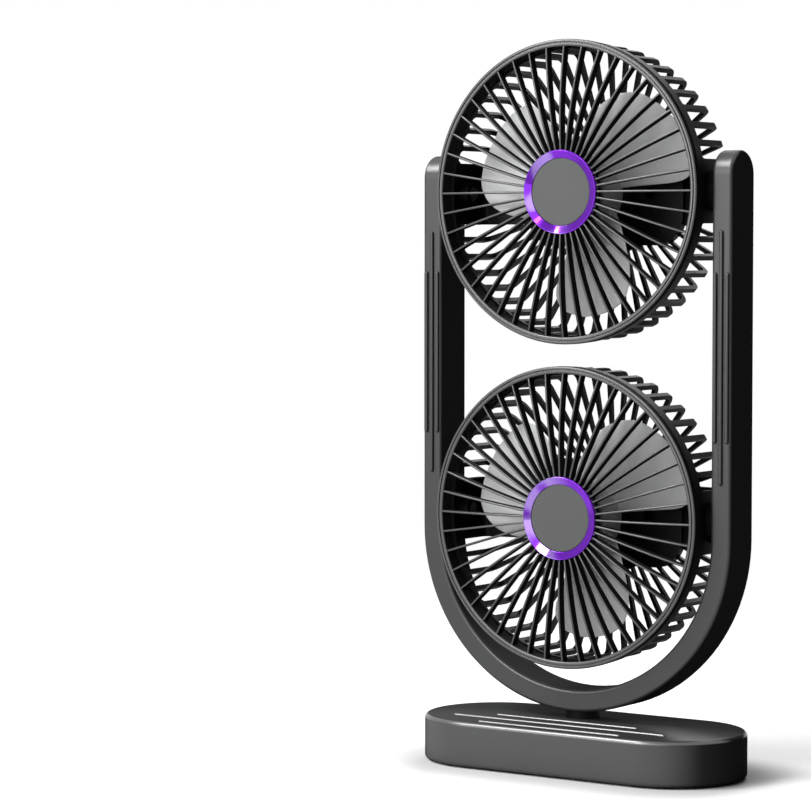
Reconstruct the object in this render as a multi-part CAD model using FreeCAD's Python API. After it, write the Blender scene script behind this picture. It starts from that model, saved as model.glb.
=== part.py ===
import FreeCAD, Part
import math
import os

V = FreeCAD.Vector
O = V(0, 0, 0)
X = V(1, 0, 0)
Y = V(0, 1, 0)
Z = V(0, 0, 1)

# Dual-head desk fan: an open-top yoke on a stadium base carries two tilting fan heads.
# Millimetres; X to the right, Y to the back, Z up; origin under the middle of the base.

# Base
base_w = 171.2
base_d = 74.5
base_rim = 22.6
base_crown = 2.3
base_wall = 2.4
base_roof = 2.6
base_top_round = 2.3
base_foot_round = 2.0
plate_t = 2.0
plate_gap = 0.15
foot_h = 0.6
foot_r = 6.0
foot_sink = 0.8
foot_gap = 0.1
foot_round = 0.3
foot_inset = 35.6
foot_edge = 17.25
boss_r = 3.5
boss_edge = 5.35
boss_past = 3.65
boss_web = 1.6
boss_web_lift = 3.0
base_screw_r = 1.3
base_screw_len = 7.2
base_head_r = 2.65
base_head_t = 1.35

# Raised beads: a long one between two short ones, on the base and on both arms
bead_long = 117.4
bead_short = 78.0
base_bead_r = 1.3
base_bead_rise = 0.7
base_bead_y = -23.5
base_bead_pitch = 8.3
arm_bead_r = 1.15
arm_bead_rise = 0.65
arm_bead_pitch = 3.2

# Inside the base
weight_end = 13.6
weight_near = 24.0
weight_edge = 15.3
ballast_h = 7.0
ballast_corner = 10.0
ballast_bevel = 0.6
battery_h = 9.0
battery_corner = 3.0
battery_round = 1.2
fence_x = 22.0
fence_t = 1.4
fence_h = 3.0
fence_front = 20.0
fence_back = 12.0
board_z = 8.0
board_t = 1.6
board_w = 40.0
board_d = 17.5
board_gap = 0.3
board_corner = 1.5
board_hole_r = 0.7
post_r = 2.0
post_inset_x = 3.0
post_inset_y = 2.5
chip_w = 7.0
chip_t = 1.0
inlet_x = -10.0
inlet_w = 8.9
inlet_h = 3.2
inlet_deep = 7.8
inlet_back = 0.7
inlet_gap = 0.25
inlet_skin = 0.35
inlet_roundness = 0.97
inlet_floor = 2.0
tongue_w = 6.6
tongue_t = 0.7
tongue_back = 0.8
button_x = 10.0
button_lift = 2.6
button_r = 4.0
button_gap = 0.3
button_rise = 0.9
button_round = 0.8
button_stroke = 0.8
button_lip = 1.2
button_lip_t = 1.1
button_lip_gap = 0.2
button_dish_r = 14.0
button_dish_deep = 0.4
switch_w = 6.0
switch_d = 4.0
switch_h = 5.2
switch_tip_r = 1.7
switch_tip = 1.2
switch_gap = 0.2

# Swivel
spindle_r = 5.0
spindle_bore = 3.0
spindle_tail = 1.2
neck_r = 8.2
neck_sink = 1.4
stem_r = 6.4
stem_h = 6.4
collar_r = 8.8
collar_t = 2.5
collar_lift = 2.8
fit_gap = 0.1
run_gap = 0.05
bush_t = 1.5
bush_flange_r = 7.9
bush_flange_t = 0.7
bush_foot = 7.0
bush_wall = 3.0
bush_web = 30.0
bush_web_deep = 5.0
clip_t = 1.0
clip_r = 8.5
clip_groove = 1.2
clip_mouth = 5.0
clip_gap = 0.15

# Yoke
head_gap = 3.3
yoke_band = 10.6
yoke_depth = 22.4
yoke_foot = 28.7
yoke_round = 1.6
arm_rise = 19.0
channel_w = 5.6
channel_front = 7.9
channel_rear = 8.4
channel_stop = 17.0
channel_pivot = 8.0
foot_block = 22.0
wire_w = 3.0
wire_reach = 9.0
yoke_screw_pitch = 53.0
yoke_screw_r = 1.2
yoke_screw_len = 16.0
yoke_head_r = 2.3
yoke_head_t = 1.6
yoke_head_sink = 0.8
yoke_post_r = 2.6
screw_bite = 0.05
screw_play = 0.15

# Heads
ring_r = 73.0
head_lift = 7.95
head_space = 10.5
ring_w = 3.5
ring_front = 20.2
ring_t = 3.8
ring_round = 0.8
groove_in = 1.6
groove_w = 0.5
groove_deep = 0.7
skirt_t = 0.9
skirt_deep = 4.2
spokes = 44
spoke_t = 1.1
spoke_deep = 4.8
spoke_sink = 0.5
spoke_hub_sink = 0.9
hub_r = 20.2
hub_proud = 3.4
hub_ring_w = 3.9
hub_ring_t = 2.6
hub_ring_dish = 0.9
hub_ring_bevel = 0.4
hub_plate_t = 2.8
cap_sink = 1.5
cap_gap = 0.1
cap_round = 0.4

# Rear cages
cage_step = 0.3
cage_draft = 1.4
cage_skin = 2.5
cage_band_end = -10.5
cage_corner = 6.0
cage_corner_y = 12.5
cage_cone = 0.2
lip_gap = 0.1
ribs = 48
rib_outer = 2.4
rib_inner = 1.2
window_front = -9.0
window_in = 30.0
window_round = 2.2
window_lap = 7.6
bridge_h = 30.0
seat_w = 88.0
seat_h = 51.0
seat_corner = 15.0
seat_front = 18.5
seat_t = 2.4
seat_lap = 3.0
seat_trim = 3.6
wire_hole_r = 3.0
wire_hole_x = 26.0
cover_t = 1.8
cover_round = 0.9
cover_gap = 0.1
cover_post_r = 2.4
cover_post_in = 10.0

# Pivots
pivot_r = 3.5
pivot_boss_r = 9.6
pivot_core_r = 6.0
pivot_core = 5.0
pivot_reach = 6.4
pivot_bush_r = 5.5
pivot_bush_len = 7.0
pin_bevel = 0.5
washer_r = 8.4
washer_t = 0.5
washer_gap = 0.1

# Motors and impellers
motor_r = 14.5
motor_front = 3.5
motor_round = 1.5
motor_nose_r = 5.0
motor_nose = 2.0
motor_slots = 6
motor_slot_w = 4.0
motor_slot_deep = 4.0
motor_slot_front = 4.5
motor_slot_len = 7.0
motor_screw_ring = 9.0
motor_screw_r = 1.2
motor_screw_len = 6.2
motor_head_r = 2.2
motor_head_t = 1.3
shaft_r = 1.5
shaft_end = 1.5
shaft_tip = 2.6
shaft_bevel = 0.3
press_gap = 0.02
impeller_hub_r = 19.0
impeller_hub_front = -12.0
impeller_hub_back = 4.5
impeller_wall = 2.0
impeller_bevel = 3.0
impeller_core_r = 4.5
impeller_core_gap = 1.5
blades = 3
blade_gap = 8.9
blade_t = 1.5
blade_rise = 8.0
blade_root = 2.5
nut_r = 3.6
nut_t = 2.4
nut_dome = 2.9

# Derived places
base_top = base_rim + base_crown
base_end = base_w / 2 - base_d / 2
rear_in = base_d / 2 - base_wall
roof_z = base_rim - base_roof
plate_top = foot_h + plate_t
boss_x = base_end + boss_past
boss_y = rear_in - boss_edge
weight_out = base_w / 2 - weight_end
weight_half = base_d / 2 - weight_edge
board_top = board_z + board_t
inlet_z = board_top + inlet_h / 2
button_z = board_top + button_lift
button_seat = rear_in - button_lip_gap - button_lip_t
board_back = button_seat - button_stroke - board_gap
bush_r = spindle_r + run_gap + bush_t
neck_z = base_top + run_gap
neck_top = yoke_foot + neck_sink
clip_z = bush_foot - clip_gap - clip_t
yoke_in = ring_r + head_gap
yoke_half = yoke_in + yoke_band
yoke_mid = yoke_half - yoke_band / 2
half_deep = yoke_depth / 2
arc_z = yoke_foot + yoke_half
lower_z = arc_z + head_lift
upper_z = lower_z + 2 * ring_r + head_space
middle_z = (lower_z + upper_z) / 2
yoke_top = upper_z + arm_rise
yoke_screw_y = half_deep - yoke_head_sink
ring_in = ring_r - ring_w
hub_front = ring_front + hub_proud
hub_seat = hub_front - hub_ring_t
cage_r = ring_r - cage_step
cage_side_r = ring_r - cage_draft
cage_in = cage_side_r - cage_skin
seat_floor = seat_front + seat_t
pin_start = cage_in - pivot_core
washer_x = yoke_in - washer_gap - washer_t
blade_tip = cage_in - blade_gap


# Shared shapes
def cyl(r, h, x, y, z, axis):
    return Part.makeCylinder(r, h, V(x, y, z), axis)


def box(x0, y0, z0, x1, y1, z1):
    return Part.makeBox(x1 - x0, y1 - y0, z1 - z0, V(x0, y0, z0))


def span_box(xa, xb, y0, z0, y1, z1):
    return box(min(xa, xb), y0, z0, max(xa, xb), y1, z1)


def tube(r0, r1, h, x, y, z, axis):
    return cyl(r1, h, x, y, z, axis).cut(cyl(r0, h, x, y, z, axis))


def stadium(w, d, z0, z1):
    r = d / 2
    s = w / 2 - r
    a, b, c, e = V(-s, -r, z0), V(s, -r, z0), V(s, r, z0), V(-s, r, z0)
    edges = [Part.makeLine(a, b), Part.Arc(b, V(s + r, 0, z0), c).toShape()]
    edges += [Part.makeLine(c, e), Part.Arc(e, V(-s - r, 0, z0), a).toShape()]
    return Part.Face(Part.Wire(edges)).extrude(V(0, 0, z1 - z0))


def round_block(x0, y0, z0, x1, y1, z1, r, axis):
    b = box(x0, y0, z0, x1, y1, z1)
    edges = [e for e in b.Edges if abs(e.tangentAt(e.FirstParameter).dot(axis)) > 0.99]
    return b.makeFillet(r, edges)


def prism_y(points, y0, y1):
    wire = Part.makePolygon([V(x, y0, z) for x, z in points + points[:1]])
    return Part.Face(wire).extrude(V(0, y1 - y0, 0))


def outline(points):
    # Points are (r, height); a (middle, end) pair of points is an arc.
    edges = []
    here = points[0]
    for p in points[1:] + points[:1]:
        if isinstance(p[0], tuple):
            mid, end = p
            edges.append(Part.Arc(V(*here, 0), V(*mid, 0), V(*end, 0)).toShape())
        else:
            end = p
            edges.append(Part.makeLine(V(*here, 0), V(*end, 0)))
        here = end
    return Part.Face(Part.Wire(edges))


def on_circle(middle, r, angle):
    return (middle[0] + r * math.cos(angle), middle[1] + r * math.sin(angle))


def revolve_y(points):
    return outline(points).revolve(O, Y, 360)


def turned(shape, degrees):
    s = shape.copy()
    s.rotate(O, Y, -degrees)
    return s


def moved(shape, x, z):
    s = shape.copy()
    s.translate(V(x, 0, z))
    return s


def capsule(r, p, q):
    axis = q - p
    body = Part.makeCylinder(r, axis.Length, p, axis)
    return body.fuse([Part.makeSphere(r, p), Part.makeSphere(r, q)]).removeSplitter()


def one(shape):
    return shape.removeSplitter().Solids[0]


def level_edges(shape, z):
    return [e for e in shape.Edges if abs(e.BoundBox.ZMin - z) < 1e-6 and abs(e.BoundBox.ZMax - z) < 1e-6]


def front_edges(shape, y):
    return [e for e in shape.Edges if e.BoundBox.YMax < y + 1e-6]


def back_edges(shape, y):
    return [e for e in shape.Edges if e.BoundBox.YMin > y - 1e-6]


def screw(point, axis, head_r, head_t, r, length, sunk):
    # The outer face of the head is at the point, and the shank runs along the axis.
    head = Part.makeCone(head_r, r, head_t) if sunk else Part.makeCylinder(head_r, head_t)
    arm, width, deep = head_r * 0.55, head_r * 0.3, head_t * 0.55
    bar = box(-arm, -width / 2, 0, arm, width / 2, deep)
    cross = bar.fuse(box(-width / 2, -arm, 0, width / 2, arm, deep))
    s = one(head.fuse(Part.makeCylinder(r, length)).cut(cross))
    s.Placement = FreeCAD.Placement(point, FreeCAD.Rotation(Z, axis))
    return s


# Base pieces
def domed_body():
    # Half of the cross-section, swept along the straight part and turned round each end.
    r = base_d / 2
    dome_r = (r * r + base_crown * base_crown) / (2 * base_crown)
    dome = (0, base_top - dome_r)
    lift = math.sqrt((dome_r - base_top_round) ** 2 - (r - base_top_round) ** 2)
    shoulder = (r - base_top_round, dome[1] + lift)
    slope = math.atan2(lift, shoulder[0])
    toe = (r - base_foot_round, foot_h + base_foot_round)
    half = outline([(0, foot_h), (toe[0], foot_h),
                    (on_circle(toe, base_foot_round, -math.pi / 4), (r, toe[1])),
                    (r, shoulder[1]),
                    (on_circle(shoulder, base_top_round, slope / 2), on_circle(dome, dome_r, slope)),
                    (on_circle(dome, dome_r, (slope + math.pi / 2) / 2), (0, base_top))])
    half.rotate(O, X, 90)
    half.rotate(O, Z, -90)
    end = moved(half.revolve(O, Z, 180), base_end, 0)
    front = moved(half.extrude(V(2 * base_end, 0, 0)), -base_end, 0)
    other_end, back = end.copy(), front.copy()
    other_end.rotate(O, Z, 180)
    back.rotate(O, Z, 180)
    return one(end.fuse([front, other_end, back]))


def dome_height(y):
    r = base_d / 2
    dome_r = (r * r + base_crown * base_crown) / (2 * base_crown)
    return base_top - dome_r + math.sqrt(dome_r * dome_r - y * y)


def corner_spots(x, y):
    return [(sx * x, sy * y) for sx in (-1, 1) for sy in (-1, 1)]


def bead_rows(pitch):
    return [(-pitch, bead_short / 2), (0, bead_long / 2), (pitch, bead_short / 2)]


def base_shell():
    s = domed_body().cut(stadium(base_w - 2 * base_wall, base_d - 2 * base_wall, 0, roof_z))
    adds = [cyl(bush_r + bush_wall, base_rim - bush_foot, 0, 0, bush_foot, Z)]
    for x, y in corner_spots(boss_x, boss_y):
        adds.append(cyl(boss_r, base_rim - plate_top, x, y, plate_top, Z).common(domed_body()))
        wall = math.copysign(rear_in + base_wall / 2, y)
        adds.append(box(x - boss_web / 2, min(y, wall), plate_top + boss_web_lift,
                        x + boss_web / 2, max(y, wall), base_rim - base_top_round))
    for sx in (-1, 1):
        adds.append(span_box(sx * bush_r, sx * bush_web, -boss_web / 2, roof_z - bush_web_deep,
                             boss_web / 2, base_rim))
    for dy, half in bead_rows(base_bead_pitch):
        y = base_bead_y + dy
        z = dome_height(y) + base_bead_rise - base_bead_r
        adds.append(capsule(base_bead_r, V(-half, y, z), V(half, y, z)))
    s = s.fuse(adds)
    cuts = [cyl(bush_r + run_gap, base_top, 0, 0, 0, Z),
            cyl(bush_flange_r + fit_gap, bush_flange_t, 0, 0, base_top - bush_flange_t, Z)]
    for x, y in corner_spots(boss_x, boss_y):
        cuts.append(cyl(base_screw_r + screw_bite, foot_h + base_screw_len + base_screw_r, x, y, 0, Z))
    w, h = inlet_w / 2 + inlet_gap, inlet_h / 2 + inlet_gap
    cuts.append(round_block(inlet_x - w, rear_in - base_wall, inlet_z - h,
                            inlet_x + w, base_d, inlet_z + h, h * inlet_roundness, Y))
    cuts.append(cyl(button_r + button_gap, 3 * base_wall, button_x, rear_in - base_wall, button_z, Y))
    return one(s.cut(cuts))


def foot_spots():
    return corner_spots(base_w / 2 - foot_inset, base_d / 2 - foot_edge)


def board_posts():
    x = board_w / 2 - post_inset_x
    rows = (board_back - board_d + post_inset_y, board_back - post_inset_y)
    return [(sx * x, y) for sx in (-1, 1) for y in rows]


def base_plate():
    inner = 2 * (base_wall + plate_gap)
    s = stadium(base_w - inner, base_d - inner, foot_h, plate_top)
    adds = [cyl(post_r, board_z - foot_h, x, y, foot_h, Z) for x, y in board_posts()]
    for sx in (-1, 1):
        x = sx * fence_x
        adds.append(box(x - fence_t / 2, -fence_front, foot_h,
                        x + fence_t / 2, fence_back, plate_top + fence_h))
    s = s.fuse(adds)
    cuts = [cyl(foot_r + foot_gap, foot_sink, x, y, foot_h, Z) for x, y in foot_spots()]
    for x, y in corner_spots(boss_x, boss_y):
        cuts.append(cyl(base_screw_r + screw_play, 2 * plate_top, x, y, 0, Z))
        cuts.append(Part.makeCone(base_head_r + screw_bite, base_screw_r, base_head_t, V(x, y, foot_h), Z))
    return one(s.cut(cuts))


def rubber_feet():
    feet = []
    for x, y in foot_spots():
        f = cyl(foot_r, foot_h + foot_sink, x, y, 0, Z)
        feet.append(f.makeFillet(foot_round, level_edges(f, 0)))
    return Part.makeCompound(feet)


def base_screws():
    return Part.makeCompound([screw(V(x, y, foot_h), Z, base_head_r, base_head_t, base_screw_r,
                                    base_screw_len, True) for x, y in corner_spots(boss_x, boss_y)])


def ballast():
    top = plate_top + ballast_h
    s = round_block(-weight_out, -weight_half, plate_top, -weight_near, weight_half, top, ballast_corner, Z)
    return s.makeChamfer(ballast_bevel, level_edges(s, top))


def battery():
    top = plate_top + battery_h
    s = round_block(weight_near, -weight_half, plate_top, weight_out, weight_half, top, battery_corner, Z)
    return s.makeFillet(battery_round, level_edges(s, top))


def control_board():
    w = board_w / 2
    s = round_block(-w, board_back - board_d, board_z, w, board_back, board_top, board_corner, Z)
    chip_y = board_back - board_d + post_inset_y
    s = s.fuse(box(-chip_w / 2, chip_y, board_z, chip_w / 2, chip_y + chip_w, board_top + chip_t))
    return one(s.cut([cyl(board_hole_r, 3 * board_t, x, y, board_z - board_t, Z) for x, y in board_posts()]))


def usb_socket():
    w, h = inlet_w / 2, inlet_h / 2
    mouth = base_d / 2 - inlet_back
    back = mouth - inlet_deep
    s = round_block(inlet_x - w, back, inlet_z - h, inlet_x + w, mouth, inlet_z + h, h * inlet_roundness, Y)
    w, h = w - inlet_skin, h - inlet_skin
    s = s.cut(round_block(inlet_x - w, back + inlet_floor, inlet_z - h,
                          inlet_x + w, base_d, inlet_z + h, h * inlet_roundness, Y))
    w, h = tongue_w / 2, tongue_t / 2
    return one(s.fuse(box(inlet_x - w, back, inlet_z - h, inlet_x + w, mouth - tongue_back, inlet_z + h)))


def tact_switch():
    tip = button_seat - button_stroke - switch_gap
    body = tip - switch_tip
    w = switch_w / 2
    s = box(button_x - w, body - switch_d, board_top, button_x + w, body, board_top + switch_h)
    return one(s.fuse(cyl(switch_tip_r, 2 * switch_tip, button_x, tip - 2 * switch_tip, button_z, Y)))


def power_button():
    tip = base_d / 2 + button_rise
    s = cyl(button_r, tip - button_seat, button_x, button_seat, button_z, Y)
    s = s.makeFillet(button_round, back_edges(s, tip))
    s = s.fuse(cyl(button_r + button_lip, button_lip_t, button_x, button_seat, button_z, Y))
    dish_y = tip + button_dish_r - button_dish_deep
    return one(s.cut(Part.makeSphere(button_dish_r, V(button_x, dish_y, button_z))))


# Swivel pieces
def swivel_bush():
    s = cyl(bush_r, base_top - bush_foot, 0, 0, bush_foot, Z)
    s = s.fuse(cyl(bush_flange_r, bush_flange_t, 0, 0, base_top - bush_flange_t, Z))
    return one(s.cut(cyl(spindle_r + run_gap, base_top, 0, 0, bush_foot, Z)))


def spindle():
    foot = clip_z - spindle_tail
    s = cyl(spindle_r, neck_top - foot, 0, 0, foot, Z)
    s = s.fuse([cyl(neck_r, neck_top - neck_z, 0, 0, neck_z, Z), cyl(stem_r, stem_h, 0, 0, neck_top, Z),
                cyl(collar_r, collar_t, 0, 0, neck_top + collar_lift, Z)])
    groove = tube(spindle_r - clip_groove, spindle_r + clip_groove, clip_t, 0, 0, clip_z, Z)
    return one(s.cut([groove, cyl(spindle_bore, 2 * neck_top, 0, 0, 0, Z)]))


def spindle_clip():
    s = tube(spindle_r - clip_groove + run_gap, clip_r, clip_t, 0, 0, clip_z, Z)
    return one(s.cut(box(-clip_mouth / 2, 0, 0, clip_mouth / 2, 2 * clip_r, base_top)))


# Yoke pieces
def yoke_block():
    def p(x, z):
        return V(x, -half_deep, z)
    a, b = yoke_half, yoke_in
    edges = [Part.makeLine(p(-a, yoke_top), p(-a, arc_z)),
             Part.Arc(p(-a, arc_z), p(0, arc_z - a), p(a, arc_z)).toShape(),
             Part.makeLine(p(a, arc_z), p(a, yoke_top)),
             Part.makeLine(p(a, yoke_top), p(b, yoke_top)),
             Part.makeLine(p(b, yoke_top), p(b, arc_z)),
             Part.Arc(p(b, arc_z), p(0, arc_z - b), p(-b, arc_z)).toShape(),
             Part.makeLine(p(-b, arc_z), p(-b, yoke_top)),
             Part.makeLine(p(-b, yoke_top), p(-a, yoke_top))]
    u = Part.Face(Part.Wire(edges)).extrude(V(0, yoke_depth, 0))

    def q(y, z):
        return V(-2 * a, y, z)
    crown = yoke_top - half_deep
    side = [Part.makeLine(q(-half_deep, 0), q(-half_deep, crown)),
            Part.Arc(q(-half_deep, crown), q(0, yoke_top), q(half_deep, crown)).toShape(),
            Part.makeLine(q(half_deep, crown), q(half_deep, 0)),
            Part.makeLine(q(half_deep, 0), q(-half_deep, 0))]
    u = u.common(Part.Face(Part.Wire(side)).extrude(V(4 * a, 0, 0)))
    rims = []
    for e in u.Edges:
        across = abs(e.tangentAt((e.FirstParameter + e.LastParameter) / 2).x) > 0.99
        bb = e.BoundBox
        on_face = bb.YLength < 1e-6 and abs(abs(bb.YMin) - half_deep) < 1e-6
        on_crown = bb.XLength < 1e-6 and bb.YLength > half_deep and bb.ZMin > crown - 1e-6
        if on_crown or (on_face and (not across or bb.ZMax < arc_z + 1e-6)):
            rims.append(e)
    return u.makeFillet(yoke_round, rims)


def yoke_screw_spots():
    spots = [(sx * yoke_mid, middle_z + i * yoke_screw_pitch) for sx in (-1, 1) for i in (-1, 0, 1)]
    d = yoke_mid * math.sqrt(0.5)
    return spots + [(-d, arc_z - d), (d, arc_z - d)]


def yoke_channel(y0, y1):
    # Wire ways: up both arms between the pivots, and round the bend on both sides of the foot.
    r0, r1 = yoke_mid - channel_w / 2, yoke_mid + channel_w / 2
    bend = tube(r0, r1, y1 - y0, 0, y0, arc_z, Y)
    bend = bend.common(box(-yoke_half, y0, 0, yoke_half, y1, arc_z - channel_stop))
    cuts = [bend.cut(box(-foot_block, y0, 0, foot_block, y1, arc_z))]
    for sx in (-1, 1):
        cuts.append(span_box(sx * r0, sx * r1, y0, lower_z + channel_pivot, y1, upper_z - channel_pivot))
    return cuts


def yoke_hollows():
    # Room for pivot bushes, wires and the top of the spindle.
    w = wire_w / 2
    out = []
    for z in (lower_z, upper_z):
        for sx in (-1, 1):
            out.append(cyl(pivot_bush_r + run_gap, pivot_bush_len + run_gap, sx * yoke_in, 0, z, V(sx, 0, 0)))
            out.append(box(sx * yoke_mid - w, -w, z - wire_reach, sx * yoke_mid + w, w, z + wire_reach))
    out.append(cyl(neck_r + run_gap, neck_top, 0, 0, 0, Z))
    out.append(cyl(stem_r + fit_gap, stem_h + fit_gap, 0, 0, neck_top, Z))
    out.append(cyl(collar_r + fit_gap, collar_t + fit_gap, 0, 0, neck_top + collar_lift - fit_gap / 2, Z))
    way = tube(yoke_mid - w, yoke_mid + w, wire_w, 0, -w, arc_z, Y)
    out.append(way.common(box(-foot_block - w, -w, 0, foot_block + w, w, arc_z)))
    return out


def yoke_front():
    s = yoke_block().common(box(-2 * yoke_half, -yoke_depth, 0, 2 * yoke_half, 0, 2 * yoke_top))
    s = s.cut(yoke_channel(-channel_front, 0))
    wall = half_deep - channel_front
    s = s.fuse([cyl(yoke_post_r, half_deep - wall / 2, x, -half_deep + wall / 2, z, Y)
                for x, z in yoke_screw_spots()])
    deep = yoke_screw_len - yoke_screw_y + yoke_screw_r
    holes = [cyl(yoke_screw_r + screw_bite, deep, x, -deep, z, Y) for x, z in yoke_screw_spots()]
    return one(s.cut(yoke_hollows() + holes).fuse(arm_beads()))


def yoke_rear():
    s = yoke_block().common(box(-2 * yoke_half, 0, 0, 2 * yoke_half, yoke_depth, 2 * yoke_top))
    s = s.cut(yoke_channel(0, channel_rear))
    wall = half_deep - channel_rear
    s = s.fuse([cyl(yoke_post_r, half_deep - wall / 2, x, 0, z, Y) for x, z in yoke_screw_spots()])
    holes = []
    for x, z in yoke_screw_spots():
        holes.append(cyl(yoke_screw_r + screw_play, half_deep, x, 0, z, Y))
        holes.append(cyl(yoke_head_r + screw_play, half_deep, x, yoke_screw_y - yoke_head_t, z, Y))
    return one(s.cut(yoke_hollows() + holes))


def arm_beads():
    y = -half_deep - arm_bead_rise + arm_bead_r
    out = []
    for sx in (-1, 1):
        for dx, half in bead_rows(arm_bead_pitch):
            x = sx * yoke_mid + dx
            out.append(capsule(arm_bead_r, V(x, y, middle_z - half), V(x, y, middle_z + half)))
    return out


def yoke_screws():
    return Part.makeCompound([screw(V(x, yoke_screw_y, z), V(0, -1, 0), yoke_head_r, yoke_head_t,
                                    yoke_screw_r, yoke_screw_len, False) for x, z in yoke_screw_spots()])


def pivot_bushes():
    return Part.makeCompound([tube(pivot_r + run_gap, pivot_bush_r, pivot_bush_len, sx * yoke_in, 0, 0,
                                   V(sx, 0, 0)) for sx in (-1, 1)])


# Head pieces, built around the pivot axis
def front_grille():
    f, r = -ring_front, ring_round
    back = f + ring_t
    groove = ring_r - groove_in
    g0, g1 = groove - groove_w / 2, groove + groove_w / 2
    skirt = ring_in + skirt_t
    inner, outer = (ring_in + r, f + r), (ring_r - r, f + r)
    ring = revolve_y([(ring_in, f + r), (on_circle(inner, r, -math.pi * 3 / 4), (ring_in + r, f)),
                      (g0, f), (g0, f + groove_deep), (g1, f + groove_deep), (g1, f),
                      (ring_r - r, f), (on_circle(outer, r, -math.pi / 4), (ring_r, f + r)),
                      (ring_r, back), (skirt, back), (skirt, back + skirt_deep), (ring_in, back + skirt_deep)])
    hub = cyl(hub_r, hub_plate_t, 0, -hub_seat, 0, Y)
    x0, x1 = hub_r - hub_ring_w / 2, ring_in + ring_w / 4
    y0, y1 = -hub_front + spoke_hub_sink, f + spoke_sink
    corners = [(x0, y0), (x1, y1), (x1, y1 + spoke_deep), (x0, y0 + spoke_deep)]
    wire = Part.makePolygon([V(x, y, -spoke_t / 2) for x, y in corners + corners[:1]])
    fin = Part.Face(wire).extrude(V(0, 0, spoke_t)).cut(cyl(hub_r, hub_ring_t, 0, -hub_front, 0, Y))
    fins = [turned(fin, 360.0 / spokes * i) for i in range(spokes)]
    return one(ring.fuse(fins + [hub]))


def hub_ring():
    inner, f, b = hub_r - hub_ring_w, -hub_front, hub_ring_bevel
    return revolve_y([(inner, f + hub_ring_dish), (hub_r - b, f), (hub_r, f + b), (hub_r, -hub_seat),
                      (inner, -hub_seat)])


def hub_cap():
    front = -hub_front + cap_sink
    s = cyl(hub_r - hub_ring_w - cap_gap, -hub_seat - front, 0, front, 0, Y)
    return s.makeFillet(cap_round, front_edges(s, front))


def cage_profile():
    sweep = math.pi / 2 - math.atan(cage_cone)
    middle = (cage_side_r - cage_corner, cage_corner_y)

    def cone(p):
        return (window_in, p[1] + cage_cone * (p[0] - window_in))
    out, skin = cage_corner, cage_corner - cage_skin
    top, under = cone(on_circle(middle, out, sweep)), cone(on_circle(middle, skin, sweep))
    start = -ring_front + ring_t
    step = cage_draft
    lip = ring_in + skirt_t + lip_gap
    return [(cage_r, start), (cage_r, cage_band_end), (cage_side_r, cage_band_end + step),
            on_circle(middle, out, 0), (on_circle(middle, out, sweep / 2), on_circle(middle, out, sweep)), top,
            (0, top[1]), (0, under[1]), under, on_circle(middle, skin, sweep),
            (on_circle(middle, skin, sweep / 2), on_circle(middle, skin, 0)),
            (cage_in, cage_band_end), (lip, cage_band_end - step), (lip, start)]


def cage_back():
    return revolve_y(cage_profile()).BoundBox.YMax


def seat_prism(inset, y0, y1):
    w, h = seat_w / 2 - inset, seat_h / 2 - inset
    return round_block(-w, y0, -h, w, y1, h, seat_corner - inset, Y)


def cage_window():
    # One gap between ribs: along the side wall from a round front end, then in across the back.
    half = math.pi / ribs

    def gap(r):
        k = (r - window_in) / (cage_side_r - window_in)
        return r * math.sin(half) - (rib_inner + k * (rib_outer - rib_inner)) / 2

    def slot(r0, r1):
        return [(r0, -gap(r0)), (r1, -gap(r1)), (r1, gap(r1)), (r0, gap(r0))]
    past = cage_back() + cage_corner
    side = prism_y(slot(cage_in - window_lap, cage_side_r + window_lap), window_front, past)
    ends = [e for e in front_edges(side, window_front) if e.BoundBox.XLength > window_lap]
    side = side.makeFillet(window_round, ends)
    return side.fuse(prism_y(slot(window_in, cage_in - window_lap / 2), cage_corner_y, past)).removeSplitter()


def rear_cage():
    s = revolve_y(cage_profile())
    back = cage_back()
    window = cage_window()
    bridge = box(-ring_r, -back, -bridge_h / 2, ring_r, 2 * back, bridge_h / 2)
    keep = seat_prism(0, -back, 2 * back).fuse(bridge)
    cutters = []
    for i in range(ribs):
        from_pivot = min(i % (ribs // 2), ribs // 2 - i % (ribs // 2))
        if from_pivot > 1:
            cutters.append(turned(window, 360.0 / ribs * i).cut(keep))
    s = s.cut(cutters)
    seat = seat_prism(0, seat_front, back - seat_lap)
    s = s.fuse(seat.common(cyl(cage_side_r - seat_trim, 2 * back, 0, seat_front, 0, Y)))
    s = s.cut(seat_prism(seat_t, seat_floor, 2 * back))
    bosses = []
    for sx in (-1, 1):
        bosses.append(cyl(pivot_boss_r, washer_x - cage_in, sx * cage_in, 0, 0, V(sx, 0, 0)))
        bosses.append(cyl(pivot_core_r, pivot_core, sx * pin_start, 0, 0, V(sx, 0, 0)))
    s = s.fuse(bosses)
    holes = [cyl(pivot_r, yoke_half - pin_start, sx * pin_start, 0, 0, V(sx, 0, 0)) for sx in (-1, 1)]
    holes += [cyl(motor_screw_r + screw_play, 2 * seat_t, x, seat_front - seat_t / 2, z, Y)
              for x, z in motor_screw_spots()]
    holes.append(cyl(wire_hole_r, 2 * seat_t, wire_hole_x, seat_front - seat_t / 2, 0, Y))
    return one(s.cut(holes))


def rear_cover():
    back = cage_back()
    s = seat_prism(seat_t + cover_gap, back - cover_t, back)
    s = s.makeFillet(cover_round, back_edges(s, back))
    x = seat_w / 2 - cover_post_in
    length = back - cover_t / 2 - seat_floor
    return one(s.fuse([cyl(cover_post_r, length, sx * x, seat_floor, 0, Y) for sx in (-1, 1)]))


def motor_screw_spots():
    return [on_circle((0, 0), motor_screw_ring, math.radians(a)) for a in (90, 210, 330)]


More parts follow.
